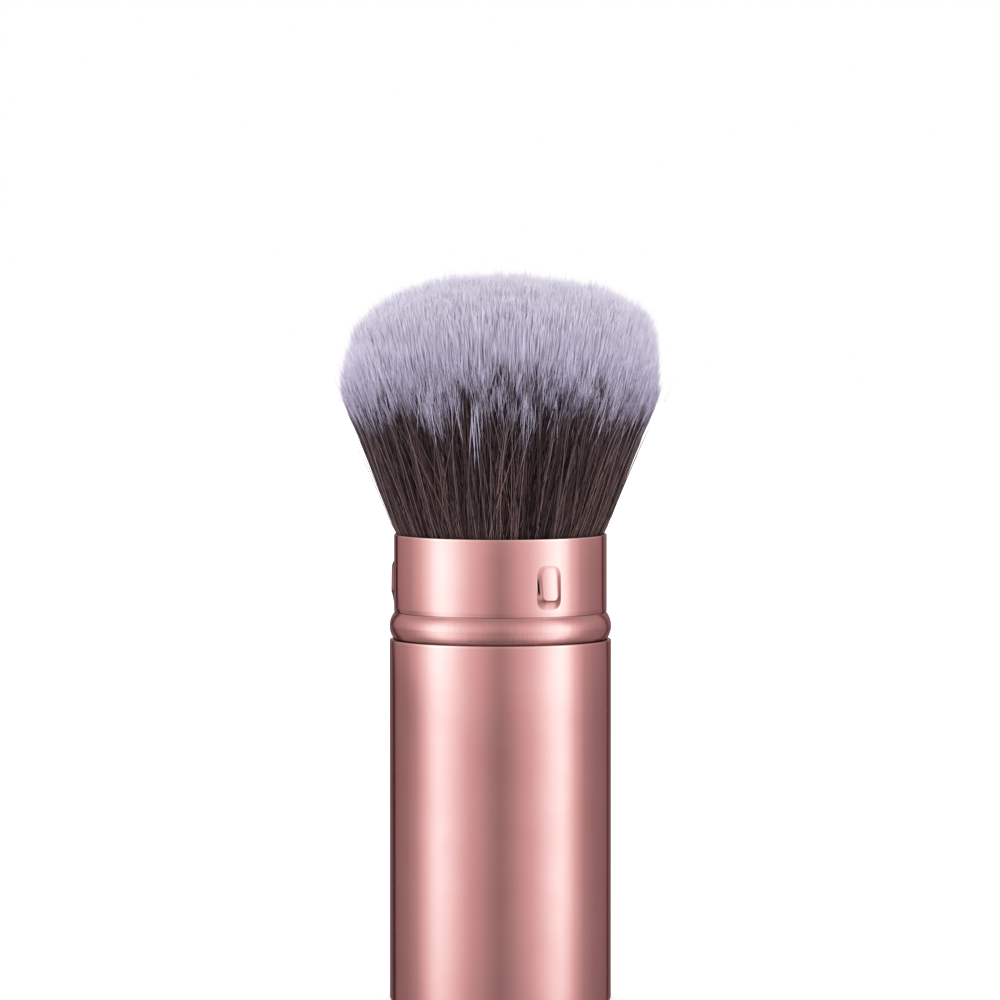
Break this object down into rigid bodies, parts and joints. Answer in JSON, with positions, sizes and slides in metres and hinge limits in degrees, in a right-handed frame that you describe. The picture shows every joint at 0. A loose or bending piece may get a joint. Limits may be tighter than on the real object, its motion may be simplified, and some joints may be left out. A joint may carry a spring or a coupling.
{
  "type": "retractable makeup brush",
  "caption": "Short powder brush with a metal barrel, a domed two-tone tuft, and a collar whose inner tube slides up to cover the hair.",
  "frame": {"origin": "centre of the barrel's flat base", "axes": "+Z along the brush from the base to the tuft; -Y is the side with the bump a little to its right"},
  "size_m": [0.0404, 0.0404, 0.0923],
  "materials": {
    "barrel_metal": "satin rose gold anodised",
    "collar_metal": "bright rose gold anodised",
    "tube_plating": "metallised rose gold moulding",
    "lining_plastic": "moulded black",
    "post_plastic": "moulded grey",
    "ferrule_metal": "plain drawn",
    "root_resin": "cast amber resin",
    "hair": "fine tapered synthetic hair, dark at the root and pale lavender at the tip"
  },
  "bodies": {
    "barrel": {"barrel_shell": "barrel_metal", "barrel_liner": "lining_plastic", "stop_ring": "lining_plastic", "brush_post": "post_plastic", "ferrule": "ferrule_metal", "root_adhesive": "root_resin", "bristle_head": "hair"},
    "collar": {"collar_shell": "collar_metal", "slide_tube": "tube_plating"}
  },
  "joints": [
    {"name": "collar_slide", "type": "slide", "parent": "barrel", "child": "collar", "axis": [0, 0, 1], "range_m": [0, 0.035], "deforming": ["bristle_head"]}
  ]
}
